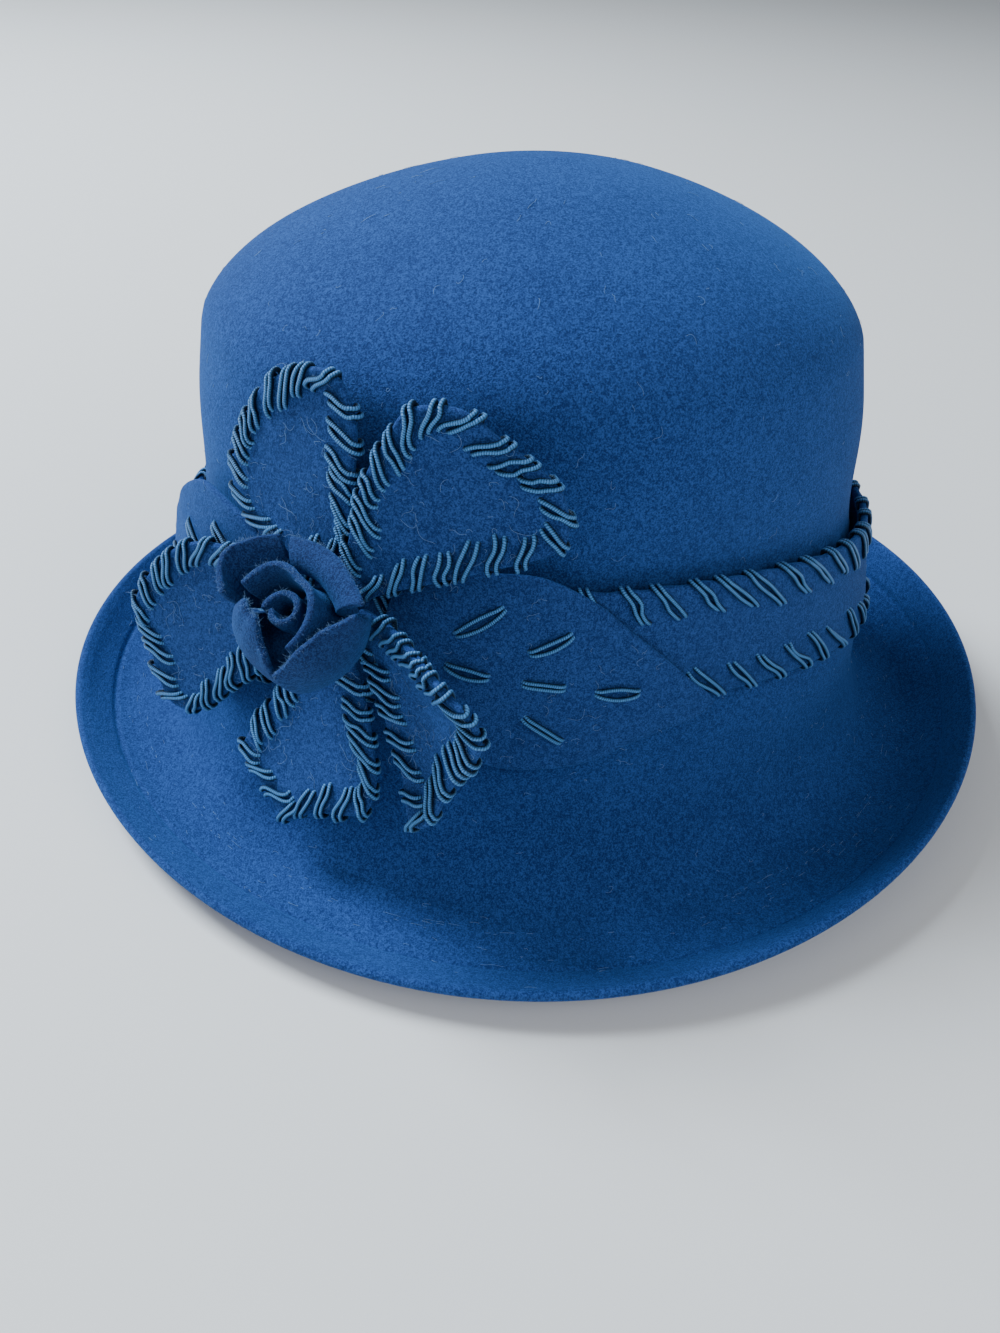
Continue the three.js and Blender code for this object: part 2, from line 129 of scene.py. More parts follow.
def rim_height(angle):
    """Height of the rim: a level, two waves a turn for the low ends, and one wave each for back and left."""
    return 12.7 - 4.4 * np.cos(2 * angle) + 5.7 * np.sin(angle) + 2.0 * np.cos(angle)


def brim_point(angle, share, height):
    """Point a share of the way from the crown's foot to the rim's oval."""
    foot = crown_oval(angle, BASE_HEIGHT + 0 * angle)
    x = mix(foot[..., 0], BRIM_HALF[0] * np.cos(angle), share)
    y = mix(foot[..., 1], BRIM_HALF[1] * np.sin(angle), share)
    return np.stack([x, y, height + 0 * x], -1)


def brim_section(angle, station):
    """Brim: 0 to 1 flares down to the ring on the table, 1 to 2 crosses it, 2 to 3 curls up to the rim."""
    valley = mix(0.60, 0.50, np.sin(angle) ** 2)
    foot = crown_oval(angle, BASE_HEIGHT + 0 * angle)
    run = np.hypot(BRIM_HALF[0] * np.cos(angle) - foot[..., 0], BRIM_HALF[1] * np.sin(angle) - foot[..., 1])
    half = CONTACT_WIDTH / 2 / run
    t = np.clip(station, 0, 1)
    flare = brim_point(angle, bezier(0, 0.05, valley - half - 0.30, valley - half, t),
                       bezier(BASE_HEIGHT, mix(BASE_HEIGHT, HAT_FELT, 0.55), HAT_FELT, HAT_FELT, t))
    across = brim_point(angle, valley + half * (2 * np.clip(station - 1, 0, 1) - 1), HAT_FELT + 0 * angle)
    t = np.clip(station - 2, 0, 1.001)
    start, top = valley + half, rim_height(angle)
    curl = brim_point(angle, bezier(start, mix(start, 1, 0.45), mix(start, 1, 0.80), 1, t),
                      bezier(HAT_FELT, HAT_FELT, mix(HAT_FELT, top, 0.60), top, t))
    station = np.asarray(station)[..., None]
    return np.where(station <= 1, flare, np.where(station <= 2, across, curl))


def hat_point(angle, station):
    """Outer side of the hat: 0 top, 1 shoulder, 2 crown's foot, 3 and 4 the ring on the table, 5 rim."""
    angle, station = np.broadcast_arrays(np.asarray(angle, float), np.asarray(station, float))
    dome = crown_dome(angle, np.cos(np.clip(station, 0, 1) * np.pi / 2))
    wall = crown_wall(angle, mix(SHOULDER_HEIGHT, BASE_HEIGHT, np.clip(station - 1, 0, 1)))
    pick = station[..., None]
    return np.where(pick <= 1, dome, np.where(pick <= 2, wall, brim_section(angle, station - 2)))


def square_to(surface, u, v, step=2e-4):
    """Direction square to a surface of two numbers, from its slopes along both."""
    along_u = surface(u + step, v) - surface(u - step, v)
    along_v = surface(u, v + step) - surface(u, v - step)
    return unit(np.cross(along_u, along_v))


# Millimetres to each side for the slopes of a face laid out flat
FACE_STEP = 0.05


def hat_normal(angle, station):
    """Outward direction of the hat's outer side."""
    return -square_to(hat_point, angle, np.clip(station, 2e-3, 5 - 1e-3))


def make_mesh(name, points, faces, material):
    """A smooth mesh from points in millimetres and faces turned outward, riding on the hat."""
    mesh = bpy.data.meshes.new(name)
    mesh.from_pydata(np.asarray(points) / 1000, [], [list(f) for f in faces])
    mesh.update()
    mesh.polygons.foreach_set("use_smooth", np.ones(len(mesh.polygons), bool))
    mesh.materials.append(material)
    piece = bpy.data.objects.new(name, mesh)
    bpy.context.scene.collection.objects.link(piece)
    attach(piece, "root")
    return piece


def volume_of(points, quads):
    """Signed volume inside quads: two triangles each, whose pyramids from the origin are added."""
    a, b, c, d = (points[quads[:, k]] for k in range(4))
    return (np.einsum("ij,ij->i", a, np.cross(b, c)) + np.einsum("ij,ij->i", a, np.cross(c, d))).sum() / 6


def closed_rings(name, rings, material, poles=None):
    """Closed skin through rings of points: the end rings close on poles, and without poles it loops."""
    count, steps = rings.shape[:2]
    at = np.arange(count * steps).reshape(count, steps)
    if poles is None:
        at = np.concatenate([at, at[:1]])
    beside = np.roll(at, -1, axis=1)
    quads = np.stack([at[:-1], at[1:], beside[1:], beside[:-1]], -1).reshape(-1, 4)
    points = rings.reshape(-1, 3)
    flip = volume_of(points, quads) < 0
    faces = [quads[:, ::-1] if flip else quads]
    if poles is not None:
        first, last = count * steps, count * steps + 1
        points = np.concatenate([points, np.array(poles)])
        caps = [np.stack([np.full(steps, first), at[0], beside[0]], -1),
                np.stack([np.full(steps, last), beside[-1], at[-1]], -1)]
        faces += [cap[:, ::-1] if flip else cap for cap in caps]
    return make_mesh(name, points, [f for group in faces for f in group.tolist()], material)


def stations(*runs):
    """Stations along a way from runs of (from, to, count), each joined to the one before."""
    return np.concatenate([np.linspace(*run)[min(k, 1):] for k, run in enumerate(runs)])


def hat_skin(material):
    """Crown and brim: the outer side, a round edge of half the felt, and the inner side one felt thickness
    in. The outer side sways by a few tenths of a millimetre and has a pressed line one hem's width inside
    the rim."""
    angle = np.linspace(0, 2 * np.pi, 288, endpoint=False)
    a, s = np.meshgrid(angle, stations((0.02, 1, 44), (1, 2, 40), (2, 3, 30), (3, 4, 4), (4, 5, 44)))
    outer = hat_point(a, s)
    away = np.linalg.norm(outer - hat_point(a, 5 + 0 * a), axis=-1)
    on_curl = s > 4
    hem = np.where(on_curl, HEM_DEPTH * np.exp(-((away - HEM_WIDTH) / HEM_REACH) ** 2), 0)
    hem -= np.where(on_curl, HEM_RISE * np.clip((HEM_WIDTH - away) / 4, 0, 1) * np.clip(away / 2, 0, 1), 0)
    sway = (0.35 * np.sin(3 * a + 1.1) * np.sin(2.6 * s + 0.4)
            + 0.22 * np.sin(7 * a - 0.7) * np.sin(5.2 * s + 1.9)
            + 0.12 * np.sin(13 * a + 2.2) * np.sin(9.0 * s))
    fade = np.clip(s / 1.1, 0, 1) ** 3 * np.where(s > 2.6, np.clip((s - 4.1) / 0.4, 0, 1) * 0.6, 1)
    outer = outer + hat_normal(a, s) * (sway * fade - hem)[..., None]
    turn = np.pi * np.arange(1, 6) / 6
    up = hat_normal(angle, 5 + 0 * angle)
    side = unit(hat_point(angle + 1e-3, 5) - hat_point(angle - 1e-3, 5))
    out = unit(np.cross(side, up))
    edge = (hat_point(angle, 5) + HAT_FELT / 2 * (up * (np.cos(turn) - 1)[:, None, None]
                                                  + out * np.sin(turn)[:, None, None]))
    a, s = np.meshgrid(angle, stations((5, 4, 20), (4, 3, 3), (3, 2, 18), (2, 1, 14), (1, 0.04, 18)))
    inner = hat_point(a, s) - hat_normal(a, s) * HAT_FELT
    inner[..., 2] = np.maximum(inner[..., 2], 0)
    inner[(s >= 3) & (s <= 4), 2] = 0
    top = crown_dome(np.array(0.0), np.array(1.0))
    return closed_rings("hat_felt", np.concatenate([outer, edge, inner]), material,
                        [top, top - [0, 0, HAT_FELT]])


# Way round the straight sides under the trimming, in millimetres from the point nearest +X
round_angle = np.linspace(-3 * np.pi, 3 * np.pi, 21601)
round_path = crown_oval(round_angle, 0 * round_angle + 65)
round_length = np.concatenate([[0], np.cumsum(np.linalg.norm(np.diff(round_path, axis=0), axis=1))])
round_length -= np.interp(0, round_angle, round_length)
GIRTH = float(np.interp(2 * np.pi, round_angle, round_length))


def trim_point(way, height, off):
    """Point on the straight sides at a way round and a height, moved outward."""
    angle = np.interp(way, round_length, round_angle)
    return crown_oval(angle, height) + square_to(crown_oval, angle, height) * np.asarray(off)[..., None]


def band_drop(way):
    """How far the band hangs lower at front and back: its dip there times the cubed sine of the turn."""
    back = np.sin(np.interp(way, round_length, round_angle))
    return np.where(back > 0, BAND_DIP_BACK, BAND_DIP_FRONT) * np.abs(back) ** 3


def band_skin(material):
    """Band: a strip with round edges round the crown, whose top edge sways where the cords pull it."""
    way = np.linspace(0, GIRTH, 420, endpoint=False)
    r = BAND_FELT / 2
    turn = np.linspace(0, np.pi, 7)
    top, foot = BAND_TOP - r, BAND_TOP - BAND_WIDTH + r
    level = np.concatenate([top + r * np.sin(turn), np.linspace(top, foot, 9)[1:-1],
                            foot - r * np.sin(turn), np.linspace(foot, top, 9)[1:-1]])
    off = np.concatenate([r - r * np.cos(turn), np.full(7, 2 * r), r + r * np.cos(turn), np.zeros(7)])
    w, z = np.meshgrid(way, level)
    o = np.broadcast_to(off[:, None], w.shape)
    ripple = 0.25 * np.sin(2 * np.pi * w / STITCH_SPACING + 0.6) + 0.2 * np.sin(w / 23.0)
    high = np.clip((z - BAND_TOP + 8) / 8, 0, 1)
    rings = trim_point(w, z - band_drop(w) + ripple * high, LAY_GAP + o + 0.25 * high * np.sin(w / 9.0) ** 2)
    return closed_rings("band_felt", rings, material)


def leaf_face(way, height):
    """Outer side of the leaves: the straight sides moved out past band, gap and leaf."""
    return trim_point(way, height, LAY_GAP + BAND_FELT + LAY_GAP + LEAF_FELT + 0 * way)


facing_out = np.array([np.cos(FACING_TURN) * np.cos(FACING_TILT), np.sin(FACING_TURN) * np.cos(FACING_TILT),
                       np.sin(FACING_TILT)])
facing_right = np.array([-np.sin(FACING_TURN), np.cos(FACING_TURN), 0])
facing_up = np.cross(facing_out, facing_right)
flower_way = np.interp(FLOWER_TURN, round_angle, round_length)
flower_middle = trim_point(flower_way, FLOWER_HEIGHT,
                           2 * LAY_GAP + BAND_FELT + LEAF_FELT + LAY_GAP + FLOWER_LIFT)
flower_rise = (FLOWER_HEIGHT - BASE_HEIGHT) / (SHOULDER_HEIGHT - BASE_HEIGHT)
half_x, half_y = mix(BASE_HALF, SHOULDER_HALF, flower_rise)
# Radius of the crown's oval at the flower
ROUNDNESS = float(((half_y * np.sin(FLOWER_TURN)) ** 2 + (half_x * np.cos(FLOWER_TURN)) ** 2) ** 1.5
                  / (half_x * half_y))


def flower_point(right, up, out):
    """Point in the flower's own directions."""
    return (flower_middle + np.asarray(right)[..., None] * facing_right
            + np.asarray(up)[..., None] * facing_up + np.asarray(out)[..., None] * facing_out)


# Petals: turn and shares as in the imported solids, and the outline in rows (out, aside), clockwise as seen
PETALS = {
    "petal_1": dict(turn=104, long=0.93, wide=0.90, rise=0.02, cup=0.02, wrap=0.7, layer=0, outline=[
        (11, 10), (17, 19), (25, 24.5), (32, 23.5), (39.6, 19.5), (45.6, 13.6), (50.5, 8), (53.5, -2),
        (54, -10), (50.5, -16), (42, -17.5), (33, -15.5), (22, -13), (12, -9.8)]),
    "petal_2": dict(turn=47, long=1.16, wide=0.98, rise=0.07, cup=0.01, wrap=1, layer=1, outline=[
        (12, 4), (19, 7), (27, 12.8), (35.7, 17), (43.5, 19.3), (51, 21.2), (57, 19), (62, 14), (64, 5),
        (66, -4), (65.6, -10), (62, -16), (56.7, -18.8), (45.6, -15.6), (33.6, -11.4), (21.2, -7), (12, -4)]),
    "petal_3": dict(turn=-23, long=1.03, wide=0.94, rise=0.20, cup=0.03, curl=0.13, wrap=0, layer=1, outline=[
        (10, 9), (14.5, 11.5), (18, 13), (24, 15.2), (30, 17.4), (36, 19), (42, 20), (47, 20), (51, 17.8),
        (53.5, 12.7), (53.6, 6.5), (53, 0), (53.2, -6), (54.4, -12), (53.2, -17), (50, -18.8),
        (45.5, -15.9), (40, -12.6), (34, -9.8), (29.7, -7.4), (23.3, -3.6), (17.8, 0), (11, 1)]),
    "petal_4": dict(turn=-84, long=1, wide=1.05, rise=0.16, cup=0.02, wrap=0, layer=0, outline=[
        (11, 8), (18, 12.4), (27, 16), (36, 18.8), (43, 20), (48.5, 17.6), (51.5, 10), (53.5, 3), (58, -4),
        (54.5, -10), (49.8, -16.5), (45, -21.6), (37.2, -19.5), (30.3, -15.2), (22, -10.6), (12, -5)]),
    "petal_5": dict(turn=209, long=1.06, wide=1.04, rise=0.07, cup=0.02, wrap=0, layer=1, outline=[
        (11, 7), (18, 11), (27, 14), (36, 16.7), (44, 20), (52, 20.8), (58, 17.4), (59.5, 10), (59, 3),
        (58.7, -4), (57, -11), (49, -16.6), (39, -20.8), (30, -21.4), (20, -18), (12, -11)]),
}


PETAL_WIDTHS = [(0, 0.23), (0.2, 0.50), (0.4, 0.76), (0.6, 0.96), (0.74, 1), (0.87, 0.90), (1, 0.62)]


def petal_face(row, out, aside):
    """Outer side of a petal: its layer's lift, a rise with the share outward squared, cupped sides, a curl
    with the square of the share across on one side, less a fall with the square of the way right, as the
    crown falls away."""
    turn, half = np.radians(row["turn"]), PETAL_WIDTH * row["wide"] / 2
    share = (out - PETAL_START) / (PETAL_LENGTH * row["long"] - PETAL_START)
    right = np.cos(turn) * out - np.sin(turn) * aside
    up = np.sin(turn) * out + np.cos(turn) * aside
    inside = np.clip(share, 0, 1)
    across = np.clip(aside / (half * through(PETAL_WIDTHS, inside)), 0, 1.1)
    curl = row.get("curl", 0) * (across * np.sin(np.pi * inside**1.5)) ** 2
    height = (row["layer"] * (PETAL_FELT + LAY_GAP) + PETAL_FELT
              + PETAL_LENGTH * (row["rise"] * share**2 + row["cup"] * (aside / half) ** 2 * share + curl)
              - row["wrap"] * right**2 / (2 * ROUNDNESS))
    return flower_point(right, up, height)


def smooth_loop(rows, count):
    """Points at even distances on a closed smooth curve through rows, and the curve's length."""
    p = np.array(rows, float)
    before, after, second = np.roll(p, 1, 0), np.roll(p, -1, 0), np.roll(p, -2, 0)
    t = np.linspace(0, 1, 24, endpoint=False)[None, :, None]
    a, b, c, d = before[:, None], p[:, None], after[:, None], second[:, None]
    fine = 0.5 * (2 * b + (c - a) * t + (2 * a - 5 * b + 4 * c - d) * t**2 + (3 * b - a - 3 * c + d) * t**3)
    fine = fine.reshape(-1, 2)
    loop = np.concatenate([fine, fine[:1]])
    length = np.concatenate([[0], np.cumsum(np.linalg.norm(np.diff(loop, axis=0), axis=1))])
    at = np.linspace(0, length[-1], count, endpoint=False)
    points = np.stack([np.interp(at, length, loop[:, k]) for k in (0, 1)], -1)
    return points, float(length[-1])


def cut_felt(name, face, outline, felt, material, sway=0.2, steps=180):
    """Felt cut to an outline and laid on a face: rings shrink from the outline to its middle, and both
    sides meet in a round edge whose half thickness is the root of felt/2 squared less its distance inside
    squared."""
    edge, _ = smooth_loop(outline, steps)
    middle = edge.mean(axis=0)
    radius = np.linalg.norm(edge - middle, axis=1)
    r = felt / 2
    turn = np.linspace(0, np.pi / 2, 6)
    near = 1 - r * (1 - np.cos(turn))[:, None] / radius
    share = np.concatenate([near, near[-1] * np.linspace(0.96, 0.04, 15)[:, None]])
    half = np.concatenate([r * np.sin(turn), np.full(15, r)])
    flat = middle + share[..., None] * (edge - middle)
    u, v = flat[..., 0], flat[..., 1]
    normal = square_to(face, u, v, FACE_STEP)
    wave = sway * (np.sin(u / 6.3 + 1.0) * np.sin(v / 5.1 + 0.3)
                   + 0.5 * np.sin(u / 3.4) * np.sin(v / 2.9 + 1.2))
    mid = face(u, v) + normal * (wave - r)[..., None]
    outer, inner = mid + normal * half[:, None, None], mid - normal * half[:, None, None]
    rings = np.concatenate([outer[::-1], inner[1:]])
    return closed_rings(name, rings, material, [outer[-1].mean(axis=0), inner[-1].mean(axis=0)])


def rolled_felt(name, surface, felt, size_u, size_v, material, steps_u=40, steps_v=18):
    """Felt strip on a surface of two shares, thin and round at all four edges: its half thickness is felt/2
    times a quarter circle's height over the distance from the nearest edge, both ways multiplied."""
    r = felt / 2

    def places(steps, size):
        near = r / size * (1 - np.cos(np.linspace(0, np.pi / 2, 6)))
        return np.concatenate([near[:-1], np.linspace(near[-1], 1 - near[-1], steps), (1 - near[:-1])[::-1]])

    def thick(p, size):
        d = np.minimum(p, 1 - p) * size / r
        return np.sqrt(np.clip(1 - (1 - np.minimum(d, 1)) ** 2, 0, 1))

    pu, pv = places(steps_u, size_u), places(steps_v, size_v)
    u, v = np.meshgrid(pu, pv, indexing="ij")
    normal = square_to(surface, u, v, 1e-3)
    mid = surface(u, v) + normal * r
    half = (r * thick(u, size_u) * thick(v, size_v))[..., None]
    top, bottom = mid + normal * half, mid - normal * half
    n = u.size
    upper = np.arange(n).reshape(u.shape)
    lower = upper + n
    lower[[0, -1], :] = upper[[0, -1], :]
    lower[:, [0, -1]] = upper[:, [0, -1]]
    quads = [np.stack([g[:-1, :-1], g[1:, :-1], g[1:, 1:], g[:-1, 1:]], -1).reshape(-1, 4)
             for g in (upper, lower)]
    quads = np.concatenate([quads[0], quads[1][:, ::-1]])
    points = np.concatenate([top.reshape(-1, 3), bottom.reshape(-1, 3)])
    if volume_of(points, quads) < 0:
        quads = quads[:, ::-1]
    used, back = np.unique(quads, return_inverse=True)
    return make_mesh(name, points[used], back.reshape(quads.shape).tolist(), material)


def strip_size(surface):
    """Flat sizes of a strip in metres, and its area: the longest way up, the longest way round, and the sum
    of its cells on the middle of its felt."""
    u, v = np.meshgrid(np.linspace(0, 1, 41), np.linspace(0, 1, 21), indexing="ij")
    p = surface(u, v) / 1000
    up = np.linalg.norm(np.diff(p, axis=1), axis=-1).sum(axis=1).max()
    around = np.linalg.norm(np.diff(p, axis=0), axis=-1).sum(axis=0).max()
    cells = np.linalg.norm(np.cross(p[1:, :-1] - p[:-1, :-1], p[:-1, 1:] - p[:-1, :-1]), axis=-1).sum()
    return (float(up), float(around)), float(min(cells, up * around))


def finer(rows):
    """One more point between each two of every row, on the cubic through the four nearest."""
    before = np.concatenate([2 * rows[:, :1] - rows[:, 1:2], rows[:, :-2]], axis=1)
    after = np.concatenate([rows[:, 2:], 2 * rows[:, -1:] - rows[:, -2:-1]], axis=1)
    between = (9 * (rows[:, :-1] + rows[:, 1:]) - before - after) / 16
    out = np.empty((rows.shape[0], 2 * rows.shape[1] - 1, rows.shape[2]))
    out[:, ::2], out[:, 1::2] = rows, between
    return out


# Millimetres by which the winding of each cord is ahead of the one before
WINDING_SHIFT = 3.7


def cord_tubes(name, paths, reference, radius, material, sides=6):
    """Round cords carried along paths (cords, points, 3): each ring stands square to its path, turned by a
    reference direction. The map 'wound' counts millimetres along and shares of a turn round, for the
    winding and for the painted highlight along the cord's top."""
    paths, reference = finer(paths), finer(reference)
    along = unit(np.gradient(paths, axis=1))
    aside = unit(reference - (reference * along).sum(-1, keepdims=True) * along)
    over = np.cross(along, aside)
    turn = 2 * np.pi * np.arange(sides) / sides
    taper = np.ones(paths.shape[1])
    taper[[0, -1]] = 0.5
    ring = (np.cos(turn)[None, None, :, None] * aside[:, :, None]
            + np.sin(turn)[None, None, :, None] * over[:, :, None])
    points = paths[:, :, None] + ring * (radius * taper)[None, :, None, None]
    cords, count = paths.shape[:2]
    at = np.arange(cords * count * sides).reshape(cords, count, sides)
    beside = np.roll(at, -1, axis=2)
    quads = np.stack([at[:, :-1], beside[:, :-1], beside[:, 1:], at[:, 1:]], -1).reshape(-1, 4)
    caps = np.concatenate([at[:, 0, ::-1], at[:, -1]])
    steps = np.linalg.norm(np.diff(paths, axis=1), axis=-1)
    length = np.concatenate([np.zeros((cords, 1)), np.cumsum(steps, axis=1)], axis=1)
    length = length + WINDING_SHIFT * np.arange(cords)[:, None]
    near, far = (np.repeat(part[..., None], sides, 2) for part in (length[:, :-1], length[:, 1:]))
    u = np.stack([near, near, far, far], -1)
    k = np.arange(sides) / sides
    v = np.broadcast_to(np.stack([k, k + 1 / sides, k + 1 / sides, k], -1), u.shape)
    piece = make_mesh(name, points.reshape(-1, 3), quads.tolist() + caps.tolist(), material)
    wound = np.concatenate([np.stack([u, v], -1).reshape(-1, 2), np.zeros((caps.size, 2))])
    layer = piece.data.uv_layers.new(name="wound")
    layer.data.foreach_set("uv", wound.ravel().astype(np.float32))
    return piece


def laid(face, flat, height):
    """Points over a face at flat places, each raised square to it."""
    u, v = flat[..., 0], flat[..., 1]
    return face(u, v) + square_to(face, u, v, FACE_STEP) * height[..., None]


# How far each cord of a pair lies from the pair's middle, and how far on the side that curls
SPREAD, CURLED_SPREAD = 0.9, 1.25
# A whipped cord from its hole over the edge to the back: share of the stitch's depth, height over the face
WHIP = [(1.06, -1.1), (1.0, 0.0), (0.88, 0.62), (0.62, 0.86), (0.34, 0.8), (0.10, 0.62)]
# Its end behind the felt: millimetres inside the edge, height over the felt's back
BEHIND = [(2.2, -0.25), (3.2, 0.2)]


def top_up(paths, across, above, at=3):
    """Across directions signed so that a quarter turn of the map, where the cord's painted highlight lies,
    faces away from the felt.
    """
    run = paths[:, at + 1] - paths[:, at - 1]
    return across * np.sign((np.cross(run, across[:, at]) * above).sum(-1))[:, None, None]


def whip(face, edge, forward, inward, felt, depth, lean, spread=SPREAD):
    """Pairs of cords whipped over an edge. Each runs from its hole over the face, half round the edge and
    behind it, and moves along the edge by its lean on the way; the pair lies a spread to each side, bows
    and snakes a little."""
    count = len(edge)
    r = felt / 2
    turn = np.radians([120, 160, 200, 240])
    round_d = r - (r + CORD_RADIUS) * np.sin(turn - np.pi / 2)
    round_h = -r + (r + CORD_RADIUS) * np.cos(turn - np.pi / 2)
    behind = np.concatenate([round_d, [row[0] for row in BEHIND]])
    heights = np.concatenate([[row[1] for row in WHIP], round_h, [-felt + row[1] for row in BEHIND]])
    deep = depth * (1 + 0.10 * hand.standard_normal(count))
    tilt = lean * (1 + 0.22 * hand.standard_normal(count))
    shift = 0.45 * hand.standard_normal(count)
    spread = np.broadcast_to(spread, count)
    snakes = 0.25 + 0.3 * hand.standard_normal(count)
    paths, across = [], []
    for side in (-1, 1):
        deep_one = deep * (1 + 0.05 * hand.standard_normal(count))
        d = np.concatenate([np.outer(deep_one, [row[0] for row in WHIP]),
                            np.broadcast_to(behind, (count, len(behind)))], axis=1)
        h = np.broadcast_to(heights, d.shape)
        progress = 1 - d / deep_one[:, None]
        progress[:, -2:] = 1.1
        over = np.clip(progress, 0, 1)
        bow = side * hand.uniform(-0.1, 0.6, count)[:, None] * np.sin(np.pi * over)
        snake = (snakes + 0.25 * hand.standard_normal(count))[:, None] * np.sin(2 * np.pi * over)
        a = tilt[:, None] * (progress - 0.5) + shift[:, None] + side * spread[:, None] + bow - snake
        flat = edge[:, None] + inward[:, None] * d[..., None] + forward[:, None] * a[..., None]
        paths.append(laid(face, flat, h))
        ahead = unit(laid(face, flat + forward[:, None] * 0.2, h) - paths[-1])
        above = laid(face, flat[:, 3], h[:, 3] + 1) - paths[-1][:, 3]
        across.append(top_up(paths[-1], ahead, above))
    return np.concatenate(paths), np.concatenate(across)


# Whipping of the band: name, edge's level, way in, depth, lean and shift along the band
STITCH_SPACING, STITCH_START = 9.6, 2.6
BAND_WHIPS = [("band_cords_top", BAND_TOP, -1.0, 8.6, -8.0, 0),
              ("band_cords_low", BAND_TOP - BAND_WIDTH, 1.0, 8.8, 6.5, 0.9)]


def band_stitches(material):
    """Cord pairs whipped round both edges of the band, evenly spaced and with one lean on each edge."""
    count = int(round(GIRTH / STITCH_SPACING))
    way = np.arange(count) * GIRTH / count + STITCH_START
    made = []

    def face(w, z):
        return trim_point(w, z - band_drop(w), LAY_GAP + BAND_FELT + 0 * w)

    for name, level, inward, depth, lean, shift in BAND_WHIPS:
        edge = np.stack([way + shift, np.full(count, level)], -1)
        forward = np.tile([1.0, 0.0], (count, 1))
        into = np.tile([0.0, inward], (count, 1))
        paths, across = whip(face, edge, forward, into, BAND_FELT, depth, lean)
        made.append(cord_tubes(name, paths, across, CORD_RADIUS, material))
    return made


# Leaf: outline and tacks in rows (way round, height) for the back leaf; the front leaf is a shorter mirror
LEAF_SHORT = 0.91
LEAF_OUTLINE = [(-42, 80), (-30, 84.5), (-19, 86), (-10, 85.4), (-1.5, 81.7), (5.7, 76.9), (11.3, 71.3),
                (19, 64.2), (27.8, 55), (33.6, 48.2), (29, 44.4), (20.5, 42.3), (14.1, 40.4), (7.7, 37.7),
                (0, 34.8), (-9.2, 33.3), (-19, 33.5), (-26, 36.5), (-36, 46), (-44, 60), (-46, 72)]
LEAF_TACKS = [((-29.2, 70.1), (-18.7, 77.5)), ((-12.0, 66.5), (-2.8, 71.3)), ((-31.2, 61.6), (-21.6, 59.5)),
              ((-13.6, 58.4), (-4.2, 57.2)), ((3.6, 55.4), (13.6, 54.7)), ((-13.0, 48.7), (-4.4, 42.1)),
              ((-34.0, 50.0), (-25.5, 46.5))]
# A tack from hole to hole: share of its length, height over the leaf
TACK = [(-0.05, -1.1), (0, -0.15), (0.09, 0.5), (0.25, 0.66), (0.42, 0.7), (0.58, 0.7), (0.75, 0.66),
        (0.91, 0.5), (1, -0.15), (1.05, -1.1)]


def leaf_tacks(name, mirror, material):
    """Cord pairs laid on a leaf from hole to hole, each pair bowing apart between its ends."""
    ends = np.array(LEAF_TACKS, float)
    if mirror:
        ends[..., 0] = flower_way - LEAF_SHORT * (ends[..., 0] - flower_way)
    start, end = ends[:, 0], ends[:, 1]
    t, h = np.array(TACK, float).T
    ahead = unit(end - start)
    aside = np.stack([-ahead[:, 1], ahead[:, 0]], -1)
    paths, across = [], []
    for side in (-1, 1):
        bow = 0.56 + hand.uniform(0.35, 0.8, len(ends))[:, None] * np.sin(np.pi * np.clip(t, 0, 1))
        sag = 0.5 * np.sin(np.pi * t) * hand.uniform(-1, 1, len(ends))[:, None]
        flat = (start[:, None] + (end - start)[:, None] * t[None, :, None]
                + aside[:, None] * (side * bow + sag)[..., None])
        height = np.broadcast_to(h, flat.shape[:2])
        paths.append(laid(leaf_face, flat, height))
        beside = unit(laid(leaf_face, flat + aside[:, None] * 0.2, height) - paths[-1])
        above = laid(leaf_face, flat[:, 3], height[:, 3] + 1) - paths[-1][:, 3]
        across.append(top_up(paths[-1], beside, above))
    return cord_tubes(name, np.concatenate(paths), np.concatenate(across), CORD_RADIUS, material)


# Whipping of a petal: its spacing on a line inside the edge, and the bare stretches at the root
PETAL_SPACING, SPACING_LINE = 5.8, 3.4
BARE_START, BARE_END = 4.0, 7.0
PETAL_STEPS, TURN_STEPS = 720, 46
STITCH_DEPTH, STITCH_LEAN = 6.6, 4.8


def petal_stitches(name, face, row, material):
    """Cord pairs whipped round a petal's edge, leaning clockwise on their way out, from one side of its
    root round the tip to the other. They are spaced along a line inside the edge and get shorter where the
    edge turns."""
    points, length = smooth_loop(row["outline"], PETAL_STEPS)
    forward = unit(np.roll(points, -TURN_STEPS, 0) - np.roll(points, TURN_STEPS, 0))
    inward = np.stack([forward[:, 1], -forward[:, 0]], -1)
    inner = points + SPACING_LINE * inward
    run = np.cumsum(np.linalg.norm(inner - np.roll(inner, 1, 0), axis=1))
    at = np.arange(BARE_START, run[-1] - BARE_END, PETAL_SPACING)
    at = at + 0.3 * hand.standard_normal(len(at))
    pick = np.searchsorted(run, at)
    heading = np.unwrap(np.arctan2(forward[:, 1], forward[:, 0]))
    bend = np.abs(np.gradient(heading))[pick] * PETAL_STEPS / length
    spread = np.where(row.get("curl", 0) * points[pick, 1] > 0, CURLED_SPREAD, SPREAD)
    depth = STITCH_DEPTH / (1 + 4 * bend)
    paths, across = whip(face, points[pick], forward[pick], inward[pick], PETAL_FELT, depth, STITCH_LEAN,
                         spread)
    return cord_tubes(name, paths, across, CORD_RADIUS, material)


# Loose fibres and the hairs of the rose's lips
FIBRE_RADIUS, HAIR_RADIUS = 0.045, 0.022
HAT_FIBRES, LEAF_FIBRES, PETAL_FIBRES, LIP_HAIRS = 900, 60, 70, 260
HAT_FIBRE, LEAF_FIBRE, PETAL_FIBRE = 5.0, 6.0, 11.0
SPOT_STEPS = 200
